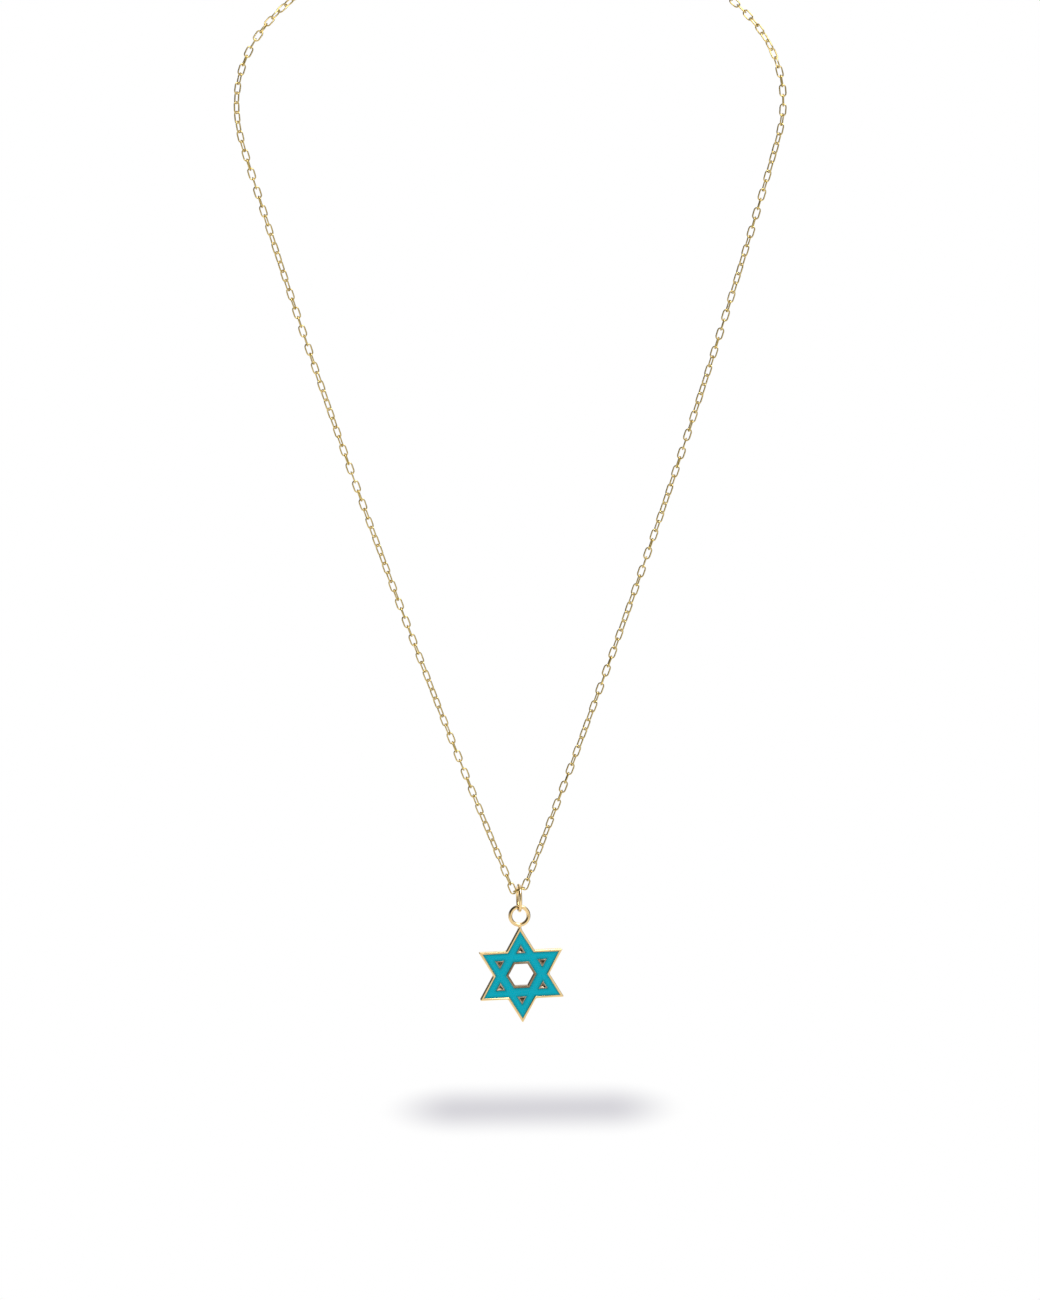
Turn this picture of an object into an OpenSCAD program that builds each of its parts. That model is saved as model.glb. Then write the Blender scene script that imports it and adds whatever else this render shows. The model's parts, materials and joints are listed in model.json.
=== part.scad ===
// Necklace: a gold star with turquoise enamel hangs by a ring and a bail from a fine oval-link chain.
// The origin is the middle of the clasp, at the nape. The star faces -Y and hangs below, +Z is up.
// Each strand is walked link by link along one smooth route from the middle link to the clasp.

/* [Star] */
// Height of the star from its top point to its bottom point
star_h = 18.6; // [16:0.1:30]
// Thickness of the star's plate
star_thick = 1.2; // [0.9:0.1:2.5]
// Width of the gold rim round the star and round its window
rim_w = 0.4; // [0.25:0.05:0.6]
// Length trimmed off each side of the star's corners to soften them
corner_trim = 0.3; // [0.1:0.05:0.4]
// Width of the six-sided window across its flats
window_flats = 4.2; // [2:0.1:5]
// Side of each small three-cornered cell, with its rim
cell_side = 1.7; // [1.3:0.1:2]
// Width of the rim round each small cell
cell_rim_w = 0.2; // [0.1:0.05:0.25]
// Distance from the star's middle to the middle of each small cell
cell_reach = 4.7; // [4.5:0.1:5.2]

/* [Enamel] */
// Depth of the recess that holds the enamel
recess_depth = 0.5; // [0.3:0.05:0.6]
// Drop from the gold rim to the enamel's face
enamel_drop = 0.06; // [0.02:0.01:0.15]
// Gap between the enamel and the gold round it
enamel_gap = 0.03; // [0.02:0.01:0.06]

/* [Ring and bail] */
// Outer diameter of the ring soldered to the star's top point
ring_d = 4.25; // [3.5:0.05:6]
// Wire thickness of that ring
ring_wire = 0.75; // [0.4:0.05:0.9]
// Diameter of the solder between the ring and the star
solder_d = 0.7; // [0.5:0.05:1]
// Depth of the star's top point sunk into the ring's wire
tip_sink = 0.1; // [0.05:0.05:0.3]
// Outer diameter of the bail, the loop that the chain runs through
bail_d = 5.5; // [5:0.1:7]
// Wire thickness of the bail
bail_wire = 0.57; // [0.4:0.01:0.6]
// Turn of the bail and the star about the upright axis, the star's right side away from the viewer
pendant_yaw = 7; // [0:1:10]
// Furthest fore and aft swing that the bail's inside leaves to it
bail_swing = 30; // [10:1:40]
// Gap left between the bail and the middle link at the ends of that swing
swing_gap = 0.05; // [0.03:0.01:0.1]
// Gap between the bail and the ring that hangs on it
hang_gap = 0.15; // [0.1:0.05:0.3]
// Lean of the star where it hangs, its top to the left
star_lean = 1; // [-3:0.1:3]

/* [Chain] */
// Wire thickness of a link
link_wire = 0.28; // [0.22:0.01:0.3]
// Outer width of a link
link_w = 1.4; // [1.3:0.05:1.6]
// Distance from one link to the next, fitted to a whole number of links
link_pitch = 1.83; // [1.7:0.01:2.2]
// Gap between the wires of neighbouring links
link_gap = 0.12; // [0.11:0.01:0.15]
// Slope of the middle link, up to the right, where the bail has slid a little to one side
mid_slope = 20; // [0:1:25]
// Extra turn from link to link along the left strand
left_twist = 6; // [0:0.1:8]
// Extra turn from link to link along the right strand
right_twist = 7.3; // [0:0.1:8]

/* [Way round the neck] */
// Length of each straight-hanging strand at the front
strand_len = 150; // [120:1:180]
// Lean of each strand from upright where it leaves the middle link
low_lean = 21.8; // [18:0.1:26]
// Lean of each strand from upright at its top
top_lean = 16.3; // [14:0.1:18]
// Height of the nape above the front strands' tops
nape_rise = 38; // [30:1:50]
// Distance from the front strands back to the nape
neck_depth = 20; // [18:1:45]
// How far the route keeps its lean past the front strands' tops
side_pull = 28; // [20:1:40]
// How far the route runs level before it reaches the clasp
nape_pull = 20; // [12:1:28]

/* [Clasp] */
// Outer diameter of the clasp's ring
clasp_d = 6; // [5:0.1:8]
// Wire thickness of the clasp's ring
clasp_wire = 1; // [0.8:0.1:1.4]
// Outer diameter of the small loop at each end of the clasp
loop_d = 2.2; // [2:0.1:3]
// Wire thickness of those loops
loop_wire = 0.4; // [0.3:0.05:0.5]

/* [Hidden] */
round_fn = 48;
wire_fn = 24;
corner_steps = 4;
// How far a cut runs past the faces of the plate
past = 1;

// A star of two crossed triangles keeps its shape when it is inset: its points come in by twice the width.
star_r = star_h / 2;
recess_r = star_r - 2 * rim_w;
enamel_r = recess_r - 2 * enamel_gap;
cell_inner = cell_side / (2 * sqrt(3));
recess_y = -star_thick / 2 + recess_depth;

// Middles of the wires
link_mid_w = (link_w - link_wire) / 2;
bail_mid_r = (bail_d - bail_wire) / 2;
ring_mid_r = (ring_d - ring_wire) / 2;
clasp_mid_r = (clasp_d - clasp_wire) / 2;
loop_mid_r = (loop_d - loop_wire) / 2;

// Neighbouring links overlap by one wire and one gap, half of it on each side of the point they share.
hook = (link_wire + link_gap) / 2;

// A strand's route goes up the front, then back round the neck to the clasp. Both strands share these places.
mean_lean = (low_lean + top_lean) / 2;
link_mid = [0, -neck_depth, -nape_rise - strand_len * cos(mean_lean)];
link_reach = link_pitch / 2 + hook;
route_top = link_mid + [link_reach, 0, 0] + strand_len * lean_dir(mean_lean);
loop_x = clasp_mid_r + clasp_wire / 2 + loop_mid_r;
loop_hook = (link_wire + loop_wire) / 2 + link_gap;
route_end = [loop_x + loop_mid_r - loop_hook + hook, 0, 0];
route_steps = 90;

// Places of the pendant's parts, measured from the middle link, which the bail meets at its slope
bail_reach = bail_mid_r - (bail_wire / 2 + link_wire / 2 + swing_gap) / cos(mid_slope);
bail_drop = sqrt(bail_reach * bail_reach - pow(link_mid_w * cos(bail_swing), 2))
    - link_mid_w * sin(bail_swing);
pivot_drop = bail_drop + bail_mid_r;
ring_drop = pivot_drop - bail_wire / 2 - hang_gap - ring_wire / 2 + ring_mid_r;
star_drop = ring_drop + ring_d / 2 - tip_sink + star_r;

function unit(v) = v / norm(v);
// A straight side of a whole number of hundredths meets the bends at its ends exactly.
function hundredths(x) = round(100 * x) / 100;
function lean_dir(a) = [sin(a), 0, cos(a)];
function square_to(v, d) = unit(v - (v * d) * d);
function turn_to(a, b, d) = atan2(cross(a, square_to(b, d)) * d, a * square_to(b, d));
function curve(a, b, c, d, t) = pow(1 - t, 3) * a + 3 * t * pow(1 - t, 2) * b
    + 3 * t * t * (1 - t) * c + pow(t, 3) * d;
// Where a strand leaves the middle link: side is 1 on the right, and -1 on the left, drawn mirrored
function strand_start(side) = link_mid
    + link_reach * [cos(mid_slope), 0, side * sin(mid_slope)] - hook * lean_dir(low_lean);
function strand_route(start) = concat(
    [for (i = [0:route_steps - 1]) curve(start, start + strand_len / 3 * lean_dir(low_lean),
        route_top - strand_len / 3 * lean_dir(top_lean), route_top, i / route_steps)],
    [for (i = [0:route_steps]) curve(route_top, route_top + side_pull * lean_dir(top_lean),
        route_end + [nape_pull, 0, 0], route_end, i / route_steps)]);
// Length walked along the route at each of its points
function walked(route) = [for (i = 0, s = 0; i < len(route);
    s = s + (i + 1 < len(route) ? norm(route[i + 1] - route[i]) : 0), i = i + 1) s];

function star_points(r) = [for (i = [0:11]) let (a = 90 + 30 * i, d = i % 2 == 0 ? r : r / sqrt(3))
    [d * cos(a), d * sin(a)]];
function regular(n, r, turn) = [for (i = [0:n - 1]) let (a = turn + 360 * i / n) [r * cos(a), r * sin(a)]];
// The outline with each corner swapped for a short curve that starts and ends trim away from it
function softened(p, trim) = [for (i = [0:len(p) - 1])
    let (b = p[i], before = p[(i + len(p) - 1) % len(p)], after = p[(i + 1) % len(p)])
    let (a = b + trim * unit(before - b), c = b + trim * unit(after - b))
    for (j = [0:corner_steps])
        let (t = j / corner_steps) pow(1 - t, 2) * a + 2 * t * (1 - t) * b + t * t * c];

module wire_ring(mid_r, wire) {
    rotate([90, 0, 0])
        rotate_extrude($fn = round_fn) translate([mid_r, 0]) circle(d = wire, $fn = wire_fn);
}

// A plate cut from an outline drawn as seen from the front, from y = from to y = to
module front_plate(points, from, to) {
    translate([0, to, 0]) rotate([90, 0, 0]) linear_extrude(to - from) polygon(points);
}

// The six small cells' outlines, each with a corner pointing away from the star's middle
module cells(inner, from, to) {
    for (i = [0:5])
        rotate([0, 60 * i, 0]) translate([0, 0, cell_reach])
            front_plate(regular(3, 2 * inner, 90), from, to);
}

// The enamel's field: the star less its rim, the window's rim and the cells, each grown by gap
module field(r, gap, from, to) {
    difference() {
        front_plate(softened(star_points(r), corner_trim / 2), from, to);
        front_plate(regular(6, (window_flats / 2 + rim_w + gap) / cos(30), 0), from - past, to + past);
        cells(cell_inner + gap, from - past, to + past);
    }
}

module star_plate() {
    front = -star_thick / 2;
    difference() {
        front_plate(softened(star_points(star_r), corner_trim), front, star_thick / 2);
        front_plate(regular(6, window_flats / 2 / cos(30), 0), front - past, star_thick / 2 + past);
        field(recess_r, 0, front - past, recess_y);
        cells(cell_inner - cell_rim_w, front - past, recess_y);
    }
}

// Hangs what is drawn below the origin from the bail's foot, leaning and turned about it
module hung() {
    translate(link_mid - [0, 0, pivot_drop]) rotate([0, -star_lean, pendant_yaw]) children();
}

module star() {
    ring_z = pivot_drop - ring_drop;
    color("gold") hung() {
        translate([0, 0, pivot_drop - star_drop]) star_plate();
        translate([0, 0, ring_z]) wire_ring(ring_mid_r, ring_wire);
        translate([0, 0, ring_z - ring_mid_r - solder_d])
            cylinder(d = solder_d, h = solder_d, $fn = wire_fn);
    }
}

module enamel() {
    color("darkturquoise") hung() translate([0, 0, pivot_drop - star_drop])
        field(enamel_r, enamel_gap, -star_thick / 2 + enamel_drop, recess_y - enamel_gap);
}

module bail() {
    color("gold") translate(link_mid - [0, 0, bail_drop]) rotate([0, 0, 90 + pendant_yaw])
        wire_ring(bail_mid_r, bail_wire);
}

// One oval link along X, flat in the XY plane. The length is the one between the middles of its end wires.
module link(length) {
    bend = hundredths(length / 2 - link_mid_w);
    for (turn = [0, 180]) rotate([0, 0, turn]) {
        translate([bend, 0, 0]) rotate([0, 0, -90])
            rotate_extrude(angle = 180, $fn = wire_fn)
                translate([link_mid_w, 0]) circle(d = link_wire, $fn = wire_fn);
        translate([-bend, link_mid_w, 0]) rotate([0, 90, 0])
            cylinder(d = link_wire, h = 2 * bend, $fn = wire_fn);
    }
}

// A strand on the right. Each link spans two shared points, a quarter turn and the twist on from the last.
module strand(side, twist) {
    route = strand_route(strand_start(side));
    walk = walked(route);
    route_len = walk[len(walk) - 1];
    links = round(route_len / link_pitch);
    step = route_len / links;
    table = [for (axis = [0:2]) [for (i = [0:len(route) - 1]) [walk[i], route[i][axis]]]];
    joint_at = [for (k = [0:links]) [for (axis = [0:2]) lookup(k * step, table[axis])]];
    link_dir = [for (k = [0:links - 1]) unit(joint_at[k + 1] - joint_at[k])];
    // The links' untwisted facings start towards the viewer.
    facing = [for (k = 0, f = [0, -1, 0]; k < links;
        k = k + 1, f = k < links ? square_to(f, link_dir[k]) : f) square_to(f, link_dir[k])];
    // The twist is fitted so that the last link lies flat and hooks the clasp's upright loop squarely.
    last_turn = turn_to(facing[links - 1], [0, 0, 1], link_dir[links - 1]) - 90 * (links + 1);
    fitted_twist = (last_turn + 180 * round((twist * links - last_turn) / 180)) / links;
    for (k = [1:links]) {
        d = link_dir[k - 1];
        f = facing[k - 1];
        roll = 90 * (k + 1) + fitted_twist * k;
        n = cos(roll) * f + sin(roll) * cross(d, f);
        w = cross(n, d);
        m = (joint_at[k - 1] + joint_at[k]) / 2;
        multmatrix([
            [d[0], w[0], n[0], m[0]],
            [d[1], w[1], n[1], m[1]],
            [d[2], w[2], n[2], m[2]],
            [0, 0, 0, 1]
        ])
            link(step + 2 * hook);
    }
}

module left_chain() {
    color("gold") mirror([1, 0, 0]) strand(-1, left_twist);
}

module right_chain() {
    color("gold") {
        translate(link_mid) rotate([0, -mid_slope, 0]) link(2 * link_reach);
        strand(1, right_twist);
    }
}

module clasp() {
    color("gold") {
        wire_ring(clasp_mid_r, clasp_wire);
        for (side = [-1, 1]) translate([side * loop_x, 0, 0]) wire_ring(loop_mid_r, loop_wire);
    }
}

star();
enamel();
bail();
left_chain();
right_chain();
clasp();
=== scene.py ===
# %% [markdown]
# # A gold star with turquoise enamel, on its chain
#
# This lesson dresses a necklace. The construction model already holds every piece at its true size: the
# star, its enamel, the bail and a chain of 245 real links. Here each piece is made again as a jeweller's
# photograph shows it, with soft polished edges, glossy enamel and finely curved wire.
#
# The first step loads the construction model. Nothing in it is moved. It tells the lesson where each
# piece belongs.

# %% Load the construction model
import json
import math
import bmesh
import bpy
import numpy as np
from mathutils import Matrix, Vector


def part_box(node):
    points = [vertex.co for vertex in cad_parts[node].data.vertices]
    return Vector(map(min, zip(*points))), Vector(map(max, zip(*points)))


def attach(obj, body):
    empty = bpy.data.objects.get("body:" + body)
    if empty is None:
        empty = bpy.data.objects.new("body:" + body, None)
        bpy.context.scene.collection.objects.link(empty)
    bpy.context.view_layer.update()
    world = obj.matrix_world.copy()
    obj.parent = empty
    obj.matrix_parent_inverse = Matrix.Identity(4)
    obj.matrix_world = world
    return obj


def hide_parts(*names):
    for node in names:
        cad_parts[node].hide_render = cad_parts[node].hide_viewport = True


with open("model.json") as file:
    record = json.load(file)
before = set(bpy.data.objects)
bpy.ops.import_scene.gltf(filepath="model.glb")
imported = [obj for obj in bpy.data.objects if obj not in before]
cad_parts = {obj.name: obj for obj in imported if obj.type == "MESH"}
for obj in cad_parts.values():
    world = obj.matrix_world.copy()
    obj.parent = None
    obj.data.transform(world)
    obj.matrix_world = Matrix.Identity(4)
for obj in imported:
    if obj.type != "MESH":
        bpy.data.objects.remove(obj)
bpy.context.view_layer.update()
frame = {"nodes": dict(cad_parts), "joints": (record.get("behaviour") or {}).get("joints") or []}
print("nodes:", sorted(frame["nodes"]))

# %% [markdown]
# ## Where things are
#
# Blender works in metres, and a jeweller in millimetres, so one named value turns the one into the other.
# The middle of the lowest link and the point that the star swings on come from the model's two joints.
#
# The star hangs a little off true: it leans, and its right side is turned away. It is easier to make
# upright and square, so its box is measured with both taken out, and each finished piece of the star is
# turned at the end. The star's own middle is the middle of its enamel.

# %% Places taken from the model
MM = 0.001
joint_at = {joint["name"]: Vector(joint["pos_m"]) for joint in frame["joints"]}
middle_link = joint_at["bail_swing"]
bail_foot = joint_at["star_swing"]
star_lean = math.radians(1)
pendant_yaw = math.radians(7)
upright_again = (Matrix.Translation(bail_foot) @ Matrix.Rotation(star_lean, 4, "Y")
                 @ Matrix.Rotation(-pendant_yaw, 4, "Z") @ Matrix.Translation(-bail_foot))


def upright_box(node):
    """The lowest and highest corners of a node of the star, with the star's lean and turn taken out."""
    places = np.array([upright_again @ v.co for v in frame["nodes"][node].data.vertices])
    return Vector(places.min(0)), Vector(places.max(0))


enamel_low, enamel_high = upright_box("enamel")
star_low, star_high = upright_box("star")
star_mid = Vector((0, (star_low.y + star_high.y) / 2, (enamel_low.z + enamel_high.z) / 2))
star_thick = star_high.y - star_low.y
print("middle link", middle_link, "star", star_mid, "thickness in mm", round(star_thick / MM, 2))

# %% [markdown]
# ## The camera
#
# The photograph looks at the necklace from the front, from a little above: the upper edges of the star's
# arms show their thickness, and the lower ones don't. A long lens from a metre and a half keeps the two
# strands in proportion. The whole necklace also leans a touch to the left in the picture, so the camera
# is rolled by as much. The middle link's place in the picture fixes the framing.

# %% Set the camera
PICTURE = (1040, 1300)
PIXEL = 0.19 * MM
LINK_PIXEL = (519, 889.7)
camera_rise = math.radians(8)
camera_roll = math.radians(0.66)
camera_far = 1.5
look = Vector((0, math.cos(camera_rise), -math.sin(camera_rise)))
level = Vector((1, 0, 0))
upright = level.cross(look)
right = level * math.cos(camera_roll) - upright * math.sin(camera_roll)
up = upright * math.cos(camera_roll) + level * math.sin(camera_roll)
view_mid = (middle_link + right * (PICTURE[0] / 2 - LINK_PIXEL[0]) * PIXEL
            + up * (LINK_PIXEL[1] - PICTURE[1] / 2) * PIXEL)
bpy.ops.object.camera_add(location=view_mid - look * camera_far)
camera = bpy.context.active_object
camera.name = "camera"
camera.rotation_euler = Matrix((right, up, -look)).transposed().to_euler()
camera.data.sensor_width = 36
camera.data.lens = camera.data.sensor_width * camera_far / (PICTURE[1] * PIXEL)
bpy.context.scene.camera = camera
print("lens in mm", round(camera.data.lens, 1))

# %% [markdown]
# ## A few hand tools
#
# In Blender's window, a modeller picks a piece, opens it, picks some of its faces and uses a tool on
# them. The same steps are small functions here. An operator acts on all that is selected, so each piece
# is picked alone first. The loaded nodes start out selected, which is why everything is deselected at
# once.

# %% Picking, opening and closing a piece
weld = 0.0005 * MM


def only(piece):
    """Makes this the one selected and active piece."""
    bpy.ops.object.select_all(action="DESELECT")
    piece.select_set(True)
    bpy.context.view_layer.objects.active = piece
    return piece


def named(name):
    """Names the piece that was just added and keeps it as the only one selected."""
    piece = bpy.context.active_object
    piece.name = name
    piece.data.name = name
    return only(piece)


def open_up(piece, kind="VERT"):
    """Opens a piece for editing, with all of it selected."""
    only(piece)
    bpy.ops.object.mode_set(mode="EDIT")
    bpy.ops.mesh.select_mode(type=kind)
    bpy.ops.mesh.select_all(action="SELECT")


def pick(piece, kind, test):
    """Selects only the vertices, edges or faces of the opened piece that pass the test."""
    bpy.ops.mesh.select_mode(type=kind)
    bpy.ops.mesh.select_all(action="DESELECT")
    mesh = bmesh.from_edit_mesh(piece.data)
    items = {"VERT": mesh.verts, "EDGE": mesh.edges, "FACE": mesh.faces}[kind]
    picked = [item for item in items if test(item)]
    for item in picked:
        item.select_set(True)
    mesh.select_flush_mode()
    bmesh.update_edit_mesh(piece.data)
    return len(picked)


def close_up(piece):
    """Merges doubles, turns the faces outwards, and puts the piece's place in its mesh."""
    bpy.ops.mesh.select_all(action="SELECT")
    bpy.ops.mesh.remove_doubles(threshold=weld)
    bpy.ops.mesh.normals_make_consistent(inside=False)
    bpy.ops.object.mode_set(mode="OBJECT")
    bpy.ops.object.transform_apply(location=True, rotation=True, scale=True)
    return piece


bpy.ops.object.select_all(action="DESELECT")
print("selected now:", len(bpy.context.selected_objects))

# %% [markdown]
# A few more tools finish a piece. A modifier could stay live on it, but then later steps couldn't pick
# the edges that it makes, so each one is applied at once. A face with many corners can fold over when it
# is hollow in outline, like the front of a star, so such faces are split into triangles.

# %% Modifying, cutting and splitting a piece
def modify(piece, kind, **settings):
    """Adds a modifier, sets it and applies it."""
    only(piece)
    modifier = piece.modifiers.new(kind.lower(), kind)
    for key, value in settings.items():
        setattr(modifier, key, value)
    bpy.ops.object.modifier_apply(modifier=modifier.name)
    return piece


def cut(piece, tool):
    """Cuts the tool's shape out of the piece, and throws the tool away."""
    modify(piece, "BOOLEAN", object=tool, operation="DIFFERENCE", solver="EXACT")
    bpy.data.objects.remove(tool)
    return piece


def join_on(piece, other):
    """Unites another shape with the piece, and throws the other away."""
    modify(piece, "BOOLEAN", object=other, operation="UNION", solver="EXACT")
    bpy.data.objects.remove(other)
    return piece


def split_big_faces(piece):
    """Splits each face with more than four corners into triangles."""
    open_up(piece, "FACE")
    pick(piece, "FACE", lambda f: len(f.verts) > 4)
    bpy.ops.mesh.quads_convert_to_tris(ngon_method="BEAUTY")
    bpy.ops.object.mode_set(mode="OBJECT")
    return piece


def smooth(piece, degrees):
    """Smooths the shading over every edge that turns by less than so many degrees."""
    only(piece)
    bpy.ops.object.shade_smooth_by_angle(angle=math.radians(degrees))
    return piece


# %% [markdown]
# ## The outline of the star
#
# The star is two crossed triangles. That is a ring of twelve points in which every other one comes in by
# the root of three. So a twelve-sided disc is added, its odd corners are scaled towards the middle, every
# corner gets a small round, and the disc is pulled back into a plate. The same tool makes the gold plate,
# the recess and the enamel, because all three share the outline.

# %% A star-shaped plate
inner_share = 1 / math.sqrt(3)
corner_steps = 4


def is_inner(vertex):
    """True at the six corners between the arms."""
    return round(math.degrees(math.atan2(vertex.co.x, vertex.co.y)) / 30) % 2 == 1


def star_slab(name, radius, trim, front, back):
    """A star-shaped plate from front to back, measured from the star's middle."""
    face_mid = star_mid + Vector((0, front, 0))
    bpy.ops.mesh.primitive_circle_add(vertices=12, radius=radius, fill_type="NGON",
                                      location=face_mid, rotation=(math.pi / 2, 0, 0))
    slab = named(name)
    open_up(slab)
    pick(slab, "VERT", is_inner)
    bpy.ops.transform.resize(value=(inner_share, inner_share, inner_share), center_override=face_mid)
    bpy.ops.mesh.select_all(action="SELECT")
    bpy.ops.mesh.bevel(offset=trim, segments=corner_steps, affect="VERTICES")
    bpy.ops.mesh.select_mode(type="FACE")
    bpy.ops.mesh.select_all(action="SELECT")
    bpy.ops.mesh.extrude_region_move(TRANSFORM_OT_translate={"value": (0, back - front, 0)})
    return close_up(slab)


print("inner corners lie at", round(inner_share, 3), "of the star's reach")

# %% [markdown]
# ## Cutters
#
# An engraver's cutter leaves its own shape behind. The window is six-sided and the cells are three-sided,
# so a cylinder with as many sides is the cutter for each. For a pit with slanting facets, the cutter's
# far end is pulled out and merged to a point.

# %% Straight and pointed cutters
hair = 0.001 * MM


def prism(name, sides, radius, turn, reach, front, back):
    """A straight-sided tool that cuts along Y, out at reach from the star's middle and turned with it."""
    away = Vector((math.sin(turn), 0, math.cos(turn))) * reach
    middle = star_mid + away + Vector((0, (front + back) / 2, 0))
    bpy.ops.mesh.primitive_cylinder_add(vertices=sides, radius=radius, depth=back - front,
                                        location=middle, rotation=(math.pi / 2, turn, 0))
    tool = named(name)
    bpy.ops.object.transform_apply(location=True, rotation=True, scale=True)
    return tool


def pointed(tool, depth):
    """Draws the back end of a tool out to a point, so that it cuts a pit with slanting facets."""
    end = max(v.co.y for v in tool.data.vertices)
    open_up(tool, "FACE")
    pick(tool, "FACE", lambda f: all(abs(v.co.y - end) < hair for v in f.verts))
    bpy.ops.mesh.extrude_region_move(TRANSFORM_OT_translate={"value": (0, depth, 0)})
    bpy.ops.mesh.merge(type="CENTER")
    bpy.ops.object.mode_set(mode="OBJECT")
    return tool


# %% [markdown]
# ## The gold plate
#
# The real star is cast in one piece: a thin plate with a raised rim round its edge, round its six-sided
# window and round its six little three-cornered cells. It could be built up from strips, but then every
# joint would show. Here a solid star is cut instead, the way an engraver sinks the field for enamel:
# first the field, then the window, then the cells. The cells' cutters are pyramids at their tip, so each
# cell ends in three small facets.

# %% Sizes of the star
rim_w = 0.4 * MM
corner_trim = 0.3 * MM
recess_depth = 0.5 * MM
window_flats = 4.2 * MM
cell_side = 1.7 * MM
cell_rim_w = 0.2 * MM
cell_reach = 4.7 * MM
pit_point = 0.22 * MM
past = 1 * MM
front = -star_thick / 2
back = star_thick / 2
recess = front + recess_depth
star_r = star_mid.z - star_low.z + corner_trim / 2 * math.cos(math.pi / 6)
field_r = star_r - 2 * rim_w
cell_in = cell_side / (2 * math.sqrt(3))
cell_turns = [number * math.pi / 3 for number in range(6)]
print("the star reaches", round(star_r / MM, 2), "mm, and its field", round(field_r / MM, 2), "mm")


# %% Cut the gold plate
def six_sided(name, flats, start, end):
    """A tool for the window, flat above and below."""
    return prism(name, 6, flats / 2 / math.cos(math.pi / 6), math.pi / 6, 0, start, end)


def cell(name, turn, inner, start, end):
    """A tool for one of the six cells, with a corner pointing outwards."""
    return prism(name, 3, 2 * inner, turn, cell_reach, start, end)


def field(name, radius, grown, start, end):
    """The star inside its rim, less the rims of the window and the cells."""
    slab = star_slab(name, radius, corner_trim / 2, start, end)
    cut(slab, six_sided("window_rim", window_flats + 2 * rim_w + 2 * grown, start - past, end + past))
    for turn in cell_turns:
        cut(slab, cell("cell_rim", turn, cell_in + grown, start - past, end + past))
    return slab


plate = star_slab("star_plate", star_r, corner_trim, front, back)
cut(plate, field("field", field_r, 0, front - past, recess))
cut(plate, six_sided("window", window_flats, front - past, back + past))
for turn in cell_turns:
    pit = cell("cell_pit", turn, cell_in - cell_rim_w, front - past, recess - pit_point)
    cut(plate, pointed(pit, pit_point))
print("plate:", len(plate.data.polygons), "faces", plate.dimensions / MM)

# %% [markdown]
# ## Soft edges
#
# No polished jewel has a sharp edge. The outer edges of the plate are the roundest, because a buffing
# wheel reaches them. The inside edge of the rim is nearly as round, and the edges of the window and of
# the cells stay crisper. A bevel made in edit mode can be given to the picked edges alone, so each of the
# three groups gets a bevel of its own.

# %% Find the edges of the plate
outer_round = 0.13 * MM
rim_round = 0.12 * MM
inner_round = 0.07 * MM
near_by = 0.01 * MM
sharp_turn = math.radians(60)


def flat_edge(edge, depth):
    """True for a sharp edge that lies at one depth of the star."""
    level_with = all(abs(v.co.y - star_mid.y - depth) < near_by for v in edge.verts)
    return level_with and len(edge.link_faces) == 2 and edge.calc_face_angle(0) > sharp_turn


def star_reach(place):
    """The size of the star of this shape whose outline runs through the place."""
    x, z = place.x - star_mid.x, place.z - star_mid.z
    up_sides = [x * math.sin(a) + z * math.cos(a) for a in (0, math.tau / 3, 2 * math.tau / 3)]
    down_sides = [-side for side in up_sides]
    return 2 * min(max(up_sides), max(down_sides))


def on_outline(edge):
    """True for an edge of the star's outline, front or back."""
    outside = all(star_reach(v.co) > star_r - rim_w for v in edge.verts)
    return outside and (flat_edge(edge, front) or flat_edge(edge, back))


def on_rim(edge):
    """True for an edge where the rim drops to the field."""
    along = all(field_r - near_by < star_reach(v.co) < field_r + outer_round for v in edge.verts)
    return along and flat_edge(edge, front)


def further_in(edge):
    """True for an edge of the window or of a cell, front or back."""
    inside = star_reach(edge.verts[0].co) < field_r - near_by
    return inside and (flat_edge(edge, front) or flat_edge(edge, back))


# %% Round the edges of the plate
open_up(plate)
for group, test, offset, segments in (("outline", on_outline, outer_round, 4),
                                      ("rim", on_rim, rim_round, 4),
                                      ("window and cells", further_in, inner_round, 3)):
    picked = pick(plate, "EDGE", test)
    bpy.ops.mesh.bevel(offset=offset, segments=segments, profile=0.5, clamp_overlap=False)
    print("rounded edges of the", group + ":", picked)
close_up(plate)
split_big_faces(plate)
print("faces now:", len(plate.data.polygons))

# %% [markdown]
# ## Flat faces that look flat
#
# Smooth shading bends the look of a flat face towards the round edges beside it, and polished gold shows
# that as dark seams. So the border of every flat face is marked sharp first, which keeps the shading of
# the flat to itself. A weighted normal modifier then evens out the walls.

# %% Shade the plate
open_up(plate, "FACE")
flat_faces = pick(plate, "FACE", lambda f: abs(f.normal.y) > 0.9999)
bpy.ops.mesh.region_to_loop()
bpy.ops.mesh.mark_sharp()
bpy.ops.object.mode_set(mode="OBJECT")
smooth(plate, 35)
modify(plate, "WEIGHTED_NORMAL", weight=100, keep_sharp=True)
print("flat faces:", flat_faces)

# %% [markdown]
# ## The enamel
#
# Enamel is glass that was ground flat, fired and polished. It fills the field a hair below the gold. It
# is made like the field's own cutter, a gap smaller all round, so that it lies in the plate without
# touching.

# %% Fill the field with enamel
enamel_gap = 0.03 * MM
enamel_front = enamel_low.y - star_mid.y
enamel_back = recess - enamel_gap
glass = field("enamel_inlay", field_r - 2 * enamel_gap, enamel_gap, enamel_front, enamel_back)
print("enamel:", len(glass.data.polygons), "faces", glass.dimensions / MM)

# %% [markdown]
# Close to the metal, enamel draws down a little, as any melt does in its tray. A single flat face can't
# bend, so the front is cut into a fine grid of parallel bisects. The border of the front is noted before
# that, because each point is then eased back by its distance from the nearest gold.

# %% Cut the front into a grid
grid = 0.3 * MM


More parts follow.
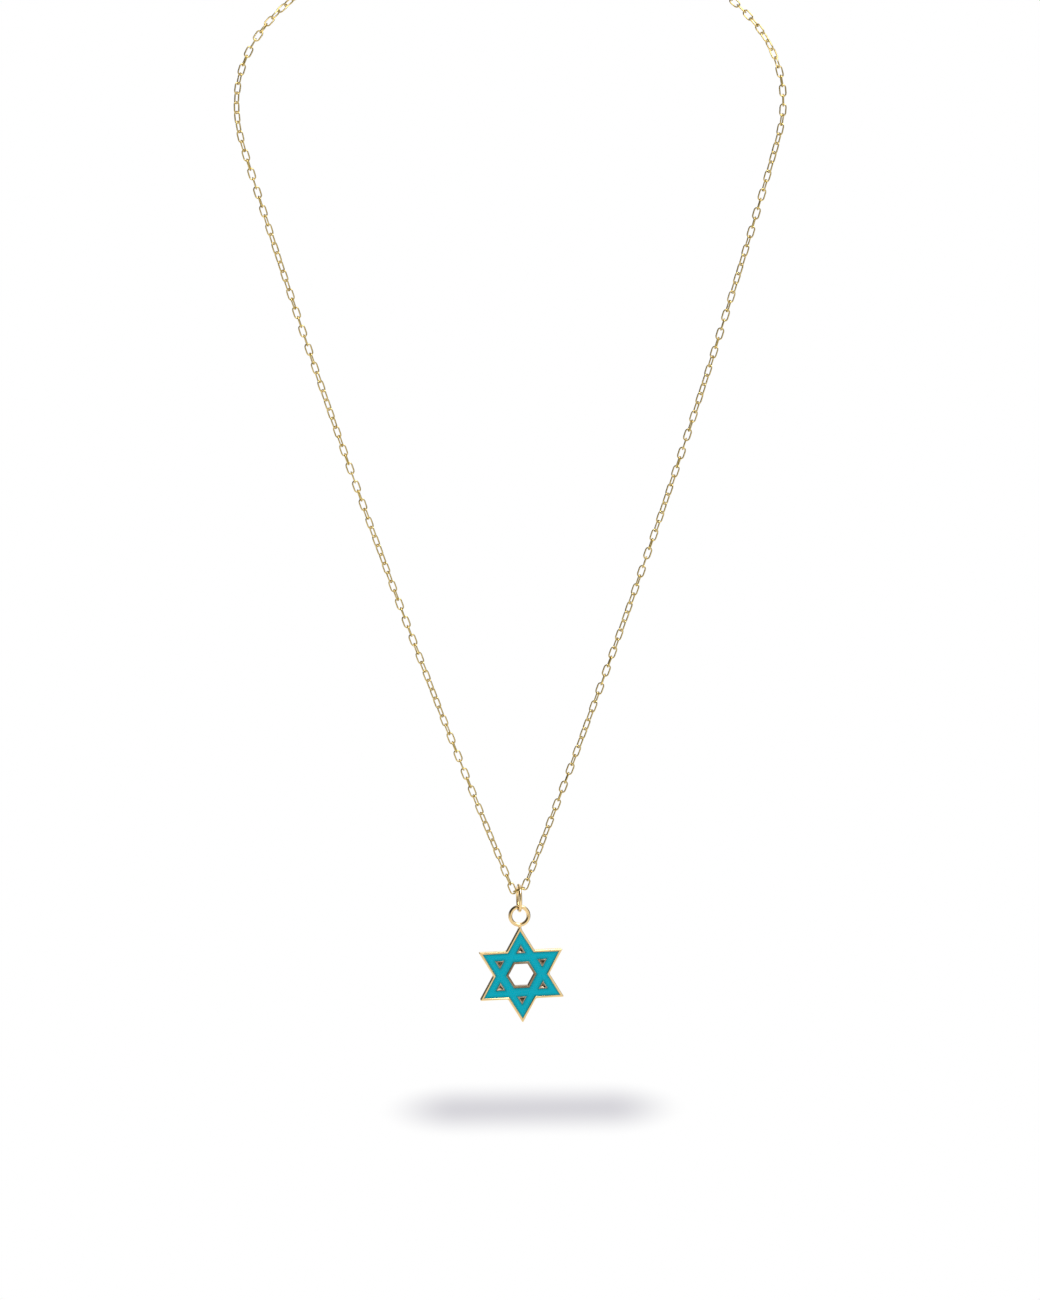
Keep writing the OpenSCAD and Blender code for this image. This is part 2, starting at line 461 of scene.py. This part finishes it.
def is_front(face):
    """True for a face on the front of the star."""
    return face.normal.y < -0.9


open_up(glass, "FACE")
pick(glass, "FACE", is_front)
borders = [[v.co.copy() for v in e.verts] for e in bmesh.from_edit_mesh(glass.data).edges
           if sum(is_front(f) for f in e.link_faces) == 1]
steps = int(star_r / grid) + 1
for axis in (Vector((1, 0, 0)), Vector((0, 0, 1))):
    for k in range(-steps, steps + 1):
        pick(glass, "FACE", is_front)
        bpy.ops.mesh.bisect(plane_co=star_mid + axis * (k + 0.5) * grid, plane_no=axis)
close_up(glass)
print("border edges:", len(borders), "faces:", len(glass.data.polygons))

# %% [markdown]
# The nearness to the gold is kept as an attribute as well, because the enamel's material makes the glass
# darker along the rim and will ask for that.

# %% Draw the enamel down at its rim
draw_down = 0.02 * MM
rim_reach = 0.45 * MM
starts = np.array([border[0] for border in borders])
spans = np.array([border[1] for border in borders]) - starts


def rim_distance(place):
    """The distance from a place on the front to the nearest border of the enamel."""
    along = np.clip(((place - starts) * spans).sum(1) / (spans * spans).sum(1), 0, 1)
    return np.linalg.norm(starts + spans * along[:, None] - place, axis=1).min()


nearness = glass.data.attributes.new("nearness", "FLOAT", "POINT")
for value in nearness.data:
    value.value = 1
on_front = [v for v in glass.data.vertices if abs(v.co.y - enamel_low.y) < hair]
for vertex in on_front:
    near = 1 - min(rim_distance(np.array(vertex.co)) / rim_reach, 1)
    nearness.data[vertex.index].value = near
    vertex.co.y += draw_down * near ** 3
split_big_faces(glass)
smooth(glass, 40)
print("points on the front:", len(on_front), "faces:", len(glass.data.polygons))

# %% [markdown]
# ## Round wire
#
# The ring on the star, the bail and the clasp are all round wire bent into a ring. A torus primitive
# would give the shape at once, but a spin teaches more: a small circle, the wire's section, is spun about
# the ring's middle.

# %% Spin a ring of wire
wire_sides = 20
ring_steps = 72


def spin_wire(name, middle, axis, outer, wire):
    """A ring of round wire about an axis through its middle."""
    across = axis.orthogonal().normalized()
    section = axis.cross(across)
    reach = (outer - wire) / 2
    bpy.ops.mesh.primitive_circle_add(vertices=wire_sides, radius=wire / 2,
                                      location=middle + across * reach,
                                      rotation=section.to_track_quat("Z", "Y").to_euler())
    ring = named(name)
    open_up(ring)
    bpy.ops.mesh.spin(steps=ring_steps, angle=math.tau, center=middle, axis=axis)
    close_up(ring)
    only(ring)
    bpy.ops.object.shade_smooth()
    return ring


ring_d = 4.25 * MM
ring_wire = 0.75 * MM
ring_mid = Vector((0, star_mid.y, star_high.z - ring_d / 2))
star_ring = spin_wire("star_ring", ring_mid, Vector((0, 1, 0)), ring_d, ring_wire)
bail_low, bail_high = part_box("bail")
bail_mid = (bail_low + bail_high) / 2
bail_d = bail_high.z - bail_low.z
bail_wire = 0.57 * MM
bail_axis = Vector((math.cos(pendant_yaw), math.sin(pendant_yaw), 0))
bail = spin_wire("bail_ring", bail_mid, bail_axis, bail_d, bail_wire)
print("bail:", bail.dimensions / MM, "ring:", star_ring.dimensions / MM)

# %% [markdown]
# ## The solder under the ring
#
# Silver solder pulls itself into a waist between the ring and the star's top point: wide where it clings
# to either, narrow between. A disc is pulled upwards in steps, and each step is scaled to the waist's
# curve. The stump at either end is hidden inside the gold, so the three read as one casting.

# %% Draw the waist of solder
waist_sunk = 0.75 * MM
waist_top = ring_mid.z - (ring_d - ring_wire) / 2
waist_foot = star_mid.z + star_r - waist_sunk
waist_steps = 10
waist_r = 0.3 * MM
flare = 0.14 * MM


def waist_radius(share):
    """The waist's radius at a share of its height: narrow in the middle."""
    return waist_r + flare * (2 * share - 1) ** 2


bpy.ops.mesh.primitive_circle_add(vertices=wire_sides, radius=waist_radius(0), fill_type="NGON",
                                  location=(0, star_mid.y, waist_foot))
waist = named("solder")
open_up(waist, "FACE")
rise = (waist_top - waist_foot) / waist_steps
for k in range(waist_steps):
    bpy.ops.mesh.extrude_region_move(TRANSFORM_OT_translate={"value": (0, 0, rise)})
    factor = waist_radius((k + 1) / waist_steps) / waist_radius(k / waist_steps)
    bpy.ops.transform.resize(value=(factor, factor, 1),
                             center_override=(0, star_mid.y, waist_foot + rise * (k + 1)))
close_up(waist)
join_on(star_ring, waist)
smooth(star_ring, 50)
print("ring and solder:", len(star_ring.data.polygons), "faces")

# %% [markdown]
# ## The star hangs a little off true
#
# The star's three pieces are upright and square so far. Each is leaned and turned about the bail's foot,
# as the star hangs in the photograph. It is done in edit mode, so that the places in its mesh move and
# the object stays at the origin. The boxes printed here should match the model's.

# %% Lean and turn the star
def hang(piece):
    """Turns a piece of the star about the bail's foot: its top to the left, its right side away."""
    open_up(piece)
    bpy.ops.transform.rotate(value=star_lean, orient_axis="Y", center_override=bail_foot)
    bpy.ops.transform.rotate(value=-pendant_yaw, orient_axis="Z", center_override=bail_foot)
    bpy.ops.object.mode_set(mode="OBJECT")
    return piece


for piece in (plate, star_ring, glass):
    hang(piece)
    places = np.array([v.co for v in piece.data.vertices])
    print(piece.name, "from", (places.min(0) / MM).round(3), "to", (places.max(0) / MM).round(3))

# %% [markdown]
# ## The chain's places
#
# The construction model's two strands hold every link where it hangs. A copy of a strand is taken apart
# into its loose links. The middle of a link, and the three directions in which it is long, wide and thin,
# say where the new link goes. They are found from the spread of its points, as one would lay a ruler
# along, across and through it.

# %% Find where each link lies
def link_places(node):
    """A placing matrix for each link of a strand, with the link's size, from the bottom up."""
    strand = frame["nodes"][node].copy()
    strand.data = strand.data.copy()
    bpy.context.scene.collection.objects.link(strand)
    strand.parent = None
    open_up(strand)
    bpy.ops.mesh.remove_doubles(threshold=weld)
    bpy.ops.mesh.separate(type="LOOSE")
    bpy.ops.object.mode_set(mode="OBJECT")
    places = []
    for loose in list(bpy.context.selected_objects):
        points = np.empty(len(loose.data.vertices) * 3)
        loose.data.vertices.foreach_get("co", points)
        points = points.reshape(-1, 3)
        rulers = np.linalg.eigh(np.cov((points - points.mean(0)).T))[1]
        long, wide = Vector(rulers[:, 2]), Vector(rulers[:, 1])
        turn = Matrix((long, wide, long.cross(wide))).transposed()
        laid = (points - points.mean(0)) @ np.array(turn)
        low, high = laid.min(0), laid.max(0)
        middle = points.mean(0) + np.array(turn) @ ((low + high) / 2)
        places.append((Matrix.Translation(middle) @ turn.to_4x4(), high - low))
        bpy.data.objects.remove(loose)
    return sorted(places, key=lambda place: place[0].translation.z)


left_places = link_places("left_chain")
right_places = link_places("right_chain")
link_size = left_places[5][1]
print("links:", len(left_places), "and", len(right_places), "size in mm", (link_size / MM).round(3))

# %% [markdown]
# ## One link
#
# A link of cable chain is an oval of wire: two straight sides and two half rounds. The section is spun
# half a turn, pulled along the straight side, spun and pulled again until it meets itself. It is made
# once, with few faces, because it is copied 245 times.

# %% Make one link
link_sides = 8
bend_steps = 6


def make_link(name, length, width, wire):
    """An oval link, long in X and flat in the XY plane, about the middle."""
    bend = (length - width) / 2
    reach = (width - wire) / 2
    bpy.ops.mesh.primitive_circle_add(vertices=link_sides, radius=wire / 2, location=(bend, reach, 0),
                                      rotation=(0, math.pi / 2, 0))
    link = named(name)
    open_up(link)
    for side in (1, -1):
        bpy.ops.mesh.spin(steps=bend_steps, angle=math.pi, center=(side * bend, 0, 0), axis=(0, 0, 1))
        bpy.ops.mesh.extrude_edges_move(TRANSFORM_OT_translate={"value": (-side * 2 * bend, 0, 0)})
    close_up(link)
    only(link)
    bpy.ops.object.shade_smooth()
    return link


pattern = make_link("link", *link_size)
print("link:", pattern.dimensions / MM, "faces:", len(pattern.data.polygons))

# %% [markdown]
# ## The strands
#
# A strand could be an array of the link along a curve, but the real links hang each at its own turn. So a
# copy goes to each place that was found, and the copies of a strand are joined into one piece. A copy has
# a mesh of its own, and the place is applied to that mesh.

# %% Set out the strands
def set_out(name, pattern, places):
    """A strand: a copy of the link at each place, all joined into one piece."""
    copies = []
    for place, size in places:
        copy = pattern.copy()
        copy.data = pattern.data.copy()
        copy.data.transform(place)
        bpy.context.scene.collection.objects.link(copy)
        copies.append(copy)
    only(copies[0])
    for copy in copies:
        copy.select_set(True)
    bpy.ops.object.join()
    return named(name)


left_links = set_out("left_links", pattern, left_places)
right_links = set_out("right_links", pattern, right_places)
bpy.data.objects.remove(pattern)
print("strands:", len(left_links.data.polygons), len(right_links.data.polygons), "faces")

# %% [markdown]
# ## The clasp
#
# The clasp lies at the nape, where the photograph doesn't show it. It is a plain ring with a small loop
# soldered to each side for the last links. The three rings are spun like the others and united.

# %% Make the clasp
clasp_low, clasp_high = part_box("clasp")
clasp_d = clasp_high.z - clasp_low.z
clasp_wire = clasp_high.y - clasp_low.y
loop_d = 2.2 * MM
loop_wire = 0.4 * MM
loop_x = clasp_high.x - loop_d / 2
clasp = spin_wire("clasp_ring", Vector((0, 0, 0)), Vector((0, 1, 0)), clasp_d, clasp_wire)
for side in (-1, 1):
    loop = spin_wire("loop", Vector((side * loop_x, 0, 0)), Vector((0, 1, 0)), loop_d, loop_wire)
    join_on(clasp, loop)
smooth(clasp, 50)
print("clasp:", clasp.dimensions / MM)

# %% [markdown]
# ## Tools for a material
#
# A material is a small graph: values go in on the left and the shader stands on the right. Each function
# here adds one node and hands on its output. All patterns read the place on the piece, so they stay put
# when the piece moves.

# %% Nodes for a material
def new_material(name):
    """A material with its shader, and the place on the piece to read patterns at."""
    material = bpy.data.materials.new(name)
    material.use_nodes = True
    nodes = material.node_tree.nodes
    shader = nodes["Principled BSDF"]
    place = nodes.new("ShaderNodeTexCoord")
    return material, shader, place.outputs["Object"]


def noise(material, place, per_mm, detail):
    """A noise with so many lumps to the millimetre."""
    node = material.node_tree.nodes.new("ShaderNodeTexNoise")
    node.inputs["Scale"].default_value = per_mm / MM
    node.inputs["Detail"].default_value = detail
    material.node_tree.links.new(place, node.inputs["Vector"])
    return node.outputs["Fac"]


def spread(material, value, low, high):
    """Stretches a noise's middle values over the range from low to high."""
    node = material.node_tree.nodes.new("ShaderNodeMapRange")
    node.inputs["From Min"].default_value = 0.3
    node.inputs["From Max"].default_value = 0.7
    node.inputs["To Min"].default_value = low
    node.inputs["To Max"].default_value = high
    material.node_tree.links.new(value, node.inputs["Value"])
    return node.outputs["Result"]


def blend_colours(material, value, first, second):
    """A colour between two, by a value from 0 to 1."""
    node = material.node_tree.nodes.new("ShaderNodeMix")
    node.data_type = "RGBA"
    node.inputs["A"].default_value = (*first, 1)
    node.inputs["B"].default_value = (*second, 1)
    material.node_tree.links.new(value, node.inputs["Factor"])
    return node.outputs["Result"]


def bump(material, shader, value, depth):
    """Raises and lowers the surface by a value, as deep as depth."""
    node = material.node_tree.nodes.new("ShaderNodeBump")
    node.inputs["Distance"].default_value = depth
    node.inputs["Strength"].default_value = 1
    material.node_tree.links.new(value, node.inputs["Height"])
    material.node_tree.links.new(node.outputs["Normal"], shader.inputs["Normal"])


# %% [markdown]
# ## Four golds
#
# Gold gets its colour from what it reflects, so the material itself is simple: a metal with a yellow
# tint. A slow noise shifts the tint a little, a finer one dulls the polish in places, and a very fine one
# is the bump that a buffing wheel leaves.
#
# The star, its ring, the bail and the clasp are of polished gold. The chain's thin wire gets a darker,
# browner copy of that gold: painted shade, standing in for the shade between its close links. The cells
# and the window wear darker, browner and rougher golds of their own.

# %% Mix the golds
tint_per_mm = 0.35
polish_per_mm = 1.7
ripple_per_mm = 2.4


def metal(name, pale, deep, smoothest, roughest, ripple):
    """Metal between two tints and two roughnesses, with a fine ripple so deep."""
    material, shader, place = new_material(name)
    link = material.node_tree.links.new
    tint = spread(material, noise(material, place, tint_per_mm, 2), 0, 1)
    polish = spread(material, noise(material, place, polish_per_mm, 3), smoothest, roughest)
    link(blend_colours(material, tint, pale, deep), shader.inputs["Base Color"])
    link(polish, shader.inputs["Roughness"])
    bump(material, shader, noise(material, place, ripple_per_mm, 4), ripple)
    shader.inputs["Metallic"].default_value = 1
    return material


gold = metal("polished_gold", (0.88, 0.67, 0.35), (0.80, 0.57, 0.27), 0.08, 0.2, 0.006 * MM)
# The cells and the window wear darker, browner and rougher golds.
pit_gold = metal("dark_cell_gold", (0.54, 0.44, 0.32), (0.28, 0.22, 0.16), 0.2, 0.4, 0.03 * MM)
window_gold = metal("window_gold", (0.34, 0.25, 0.15), (0.25, 0.18, 0.11), 0.25, 0.4, 0.01 * MM)
# The chain's gold is a darker copy of the polished gold: painted shade for its close links.
shaded_chain_gold = metal("shaded_chain_gold", (0.66, 0.505, 0.19), (0.55, 0.41, 0.14), 0.12, 0.25, 0.004 * MM)
print("golds:", [material.name for material in (gold, pit_gold, window_gold, shaded_chain_gold)])

# %% [markdown]
# ## Which face wears which gold
#
# A piece can hold several materials. Each of its faces names the one that it wears by its number in the
# piece's list, and wears the first unless told otherwise. The faces of the cells and of the window are
# found by their place, with the star's lean and turn taken out again.

# %% Give each piece its gold
for piece, materials in ((plate, (gold, pit_gold, window_gold)), (star_ring, (gold,)), (bail, (gold,)),
                         (clasp, (gold,)), (left_links, (shaded_chain_gold,)), (right_links, (shaded_chain_gold,))):
    for material in materials:
        piece.data.materials.append(material)


def on_cell(away):
    """True for a place on one of the six small cells: its rim, its walls or its facets."""
    offset = min(math.hypot(away.x - cell_reach * math.sin(turn), away.z - cell_reach * math.cos(turn))
                 for turn in cell_turns)
    return offset < 2 * cell_in and away.y < recess - hair


def on_window(away):
    """True for a place on the window's rim or its wall."""
    flats = max(abs(away.x * math.sin(turn) + away.z * math.cos(turn)) for turn in cell_turns)
    return flats < window_flats / 2 + rim_w - 2 * near_by


for face in plate.data.polygons:
    away = upright_again @ face.center - star_mid
    if on_cell(away):
        face.material_index = 1
    if on_window(away):
        face.material_index = 2
worn = [face.material_index for face in plate.data.polygons]
print("faces of polished, cast and window gold:", [worn.count(number) for number in range(3)])

# %% [markdown]
# ## Enamel
#
# Opaque enamel is coloured glass: a strong colour below and a clear gloss above. The nearness that the
# enamel keeps to its rim makes it a little darker and greener there. A faint, slow ripple in its face
# shows that it was fired. The white tent would lay a milky veil over it, and the photograph shows hardly
# any, so the gloss is kept low.

# %% Material of the enamel
deep_turquoise = (0.0, 0.385, 0.49)
rim_turquoise = (0.002, 0.25, 0.29)
material, shader, place = new_material("turquoise_enamel")
rim = material.node_tree.nodes.new("ShaderNodeAttribute")
rim.attribute_name = "nearness"
colour = blend_colours(material, rim.outputs["Fac"], deep_turquoise, rim_turquoise)
material.node_tree.links.new(colour, shader.inputs["Base Color"])
polish = spread(material, noise(material, place, 0.8, 2), 0.06, 0.14)
material.node_tree.links.new(polish, shader.inputs["Roughness"])
shader.inputs["Specular IOR Level"].default_value = 0.1
bump(material, shader, noise(material, place, 0.5, 2), 0.01 * MM)
glass.data.materials.append(material)
print("enamel's material:", material.name)

# %% [markdown]
# ## The room
#
# The photograph was lit in a white tent. Polished metal shows the whole room, so the room matters more
# than the lamps. It is white all round, with soft dark patches where black cards would stand: to the
# front left, high on the left, on the right, and in two places behind the necklace. They draw the brown
# lines in the gold. A faint one stands where it is seen mirrored in the star's flat front, so that its
# rim looks gold and not white. The camera itself sees plain white.

# %% Light the room
room_light = 1.1
star_faces = Vector((math.sin(pendant_yaw), -math.cos(pendant_yaw), 0))
mirrored = look - 2 * look.dot(star_faces) * star_faces
world = bpy.data.worlds.new("studio")
bpy.context.scene.world = world
world.use_nodes = True
tree = world.node_tree
tree.nodes.clear()
heading = tree.nodes.new("ShaderNodeTexCoord").outputs["Generated"]


def dark_patch(towards, reach, depth):
    """One minus a soft dark patch of the room around a direction, out to so many degrees."""
    dot = tree.nodes.new("ShaderNodeVectorMath")
    dot.operation = "DOT_PRODUCT"
    dot.inputs[1].default_value = Vector(towards).normalized()
    tree.links.new(heading, dot.inputs[0])
    fade = tree.nodes.new("ShaderNodeMapRange")
    fade.interpolation_type = "SMOOTHSTEP"
    fade.inputs["From Min"].default_value = math.cos(math.radians(reach))
    fade.inputs["From Max"].default_value = math.cos(math.radians(reach * 0.6))
    fade.inputs["To Min"].default_value = 1
    fade.inputs["To Max"].default_value = 1 - depth
    tree.links.new(dot.outputs["Value"], fade.inputs["Value"])
    return fade.outputs["Result"]


def multiply(first, second):
    """The product of two values."""
    node = tree.nodes.new("ShaderNodeMath")
    node.operation = "MULTIPLY"
    tree.links.new(first, node.inputs[0])
    tree.links.new(second, node.inputs[1])
    return node.outputs["Value"]


room = dark_patch(mirrored, 22, 0.15)
for towards, reach, depth in (((-0.45, -0.8, 0.35), 46, 0.92),
                              ((-0.7, 0, 0.7), 48, 0.94),
                              ((0.95, 0.2, 0.2), 40, 0.82),
                              ((-0.62, 0.75, 0.15), 36, 0.88),
                              ((0.6, 0.8, -0.1), 34, 0.75)):
    room = multiply(room, dark_patch(towards, reach, depth))
reflected = tree.nodes.new("ShaderNodeBackground")
reflected.inputs["Color"].default_value = (room_light, room_light, room_light, 1)
tree.links.new(room, reflected.inputs["Strength"])
backdrop = tree.nodes.new("ShaderNodeBackground")
backdrop.inputs["Color"].default_value = (1, 1, 1, 1)
seen = tree.nodes.new("ShaderNodeLightPath")
either = tree.nodes.new("ShaderNodeMixShader")
tree.links.new(seen.outputs["Is Camera Ray"], either.inputs["Fac"])
tree.links.new(reflected.outputs["Background"], either.inputs[1])
tree.links.new(backdrop.outputs["Background"], either.inputs[2])
output = tree.nodes.new("ShaderNodeOutputWorld")
tree.links.new(either.outputs["Shader"], output.inputs["Surface"])
print("nodes of the room:", len(tree.nodes))

# %% [markdown]
# ## The lamp
#
# One large soft lamp hangs above, a little in front and to the right, and lifts the upper edges of the
# gold. It is square and half a metre wide, so that its light has no hard border.

# %% Hang the lamp
lamp_away = Vector((0.3, -0.3, 0.8))
bpy.ops.object.light_add(type="AREA", location=star_mid + lamp_away)
lamp = bpy.context.active_object
lamp.name = "soft_box"
lamp.data.size = 0.5
lamp.data.energy = 6
lamp.rotation_euler = (-lamp_away).to_track_quat("-Z", "Y").to_euler()
print("lamp at", [round(c, 2) for c in lamp.location], "m")

# %% [markdown]
# ## The floor and its shadow
#
# The photograph's white ground holds a soft lavender shadow below the star: a long bar with round ends.
# No lamp would cast that shape from this star, so the shade is a part of the floor's own material. It is
# the distance from a short bar, and not from a point, faded from lavender to white. The floor gives off
# its own light, so that it is as white as the ground round it, and it isn't mirrored in the gold.

# %% Lay the floor
shadow_drop = 26 * MM
floor_z = star_mid.z - shadow_drop
floor_r = 0.25
floor_back = 0.1
bpy.ops.mesh.primitive_circle_add(vertices=96, radius=floor_r, fill_type="NGON",
                                  location=(0, floor_back, floor_z))
floor = named("floor")
bpy.ops.object.transform_apply(location=True)
shadow_mid = (2.1 * MM, star_mid.y)
shadow_bar = 14 * MM
shadow_reach = (16 * MM, 28.5 * MM)
lavender = (0.68, 0.672, 0.708)
material, shader, place = new_material("white_floor")
link = material.node_tree.links.new
centre = material.node_tree.nodes.new("ShaderNodeMapping")
centre.vector_type = "TEXTURE"
centre.inputs["Location"].default_value = (*shadow_mid, floor_z)
centre.inputs["Scale"].default_value = (*shadow_reach, 1)
link(place, centre.inputs["Vector"])
away = centre.outputs["Vector"]
for operation, amount in (("ABSOLUTE", 0), ("SUBTRACT", shadow_bar / shadow_reach[0]), ("MAXIMUM", 0)):
    step = material.node_tree.nodes.new("ShaderNodeVectorMath")
    step.operation = operation
    step.inputs[1].default_value = (amount, 0, 0)
    link(away, step.inputs[0])
    away = step.outputs["Vector"]
size = material.node_tree.nodes.new("ShaderNodeVectorMath")
size.operation = "LENGTH"
link(away, size.inputs[0])
shade = material.node_tree.nodes.new("ShaderNodeMapRange")
shade.interpolation_type = "SMOOTHSTEP"
link(size.outputs["Value"], shade.inputs["Value"])
colour = blend_colours(material, shade.outputs["Result"], lavender, (1, 1, 1))
link(colour, shader.inputs["Emission Color"])
shader.inputs["Emission Strength"].default_value = 1
shader.inputs["Base Color"].default_value = (0, 0, 0, 1)
shader.inputs["Roughness"].default_value = 1
shader.inputs["Specular IOR Level"].default_value = 0
floor.data.materials.append(material)
floor.visible_glossy = False
bpy.context.scene.view_settings.view_transform = "Standard"
print("floor at", round(floor_z / MM, 1), "mm")

# %% [markdown]
# ## Everything in its place
#
# Each new piece rides on the body that carries it, and the node of the construction model that it takes
# the place of is hidden.

# %% Tie the pieces to the model
for piece, body, node, slot in (
        (plate, "star", "star", "gold"), (star_ring, "star", "star", "gold"),
        (glass, "star", "enamel", "enamel"), (bail, "bail", "bail", "gold"),
        (left_links, "chain", "left_chain", "gold"), (right_links, "chain", "right_chain", "gold"),
        (clasp, "chain", "clasp", "gold")):
    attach(piece, body)
    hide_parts(node)
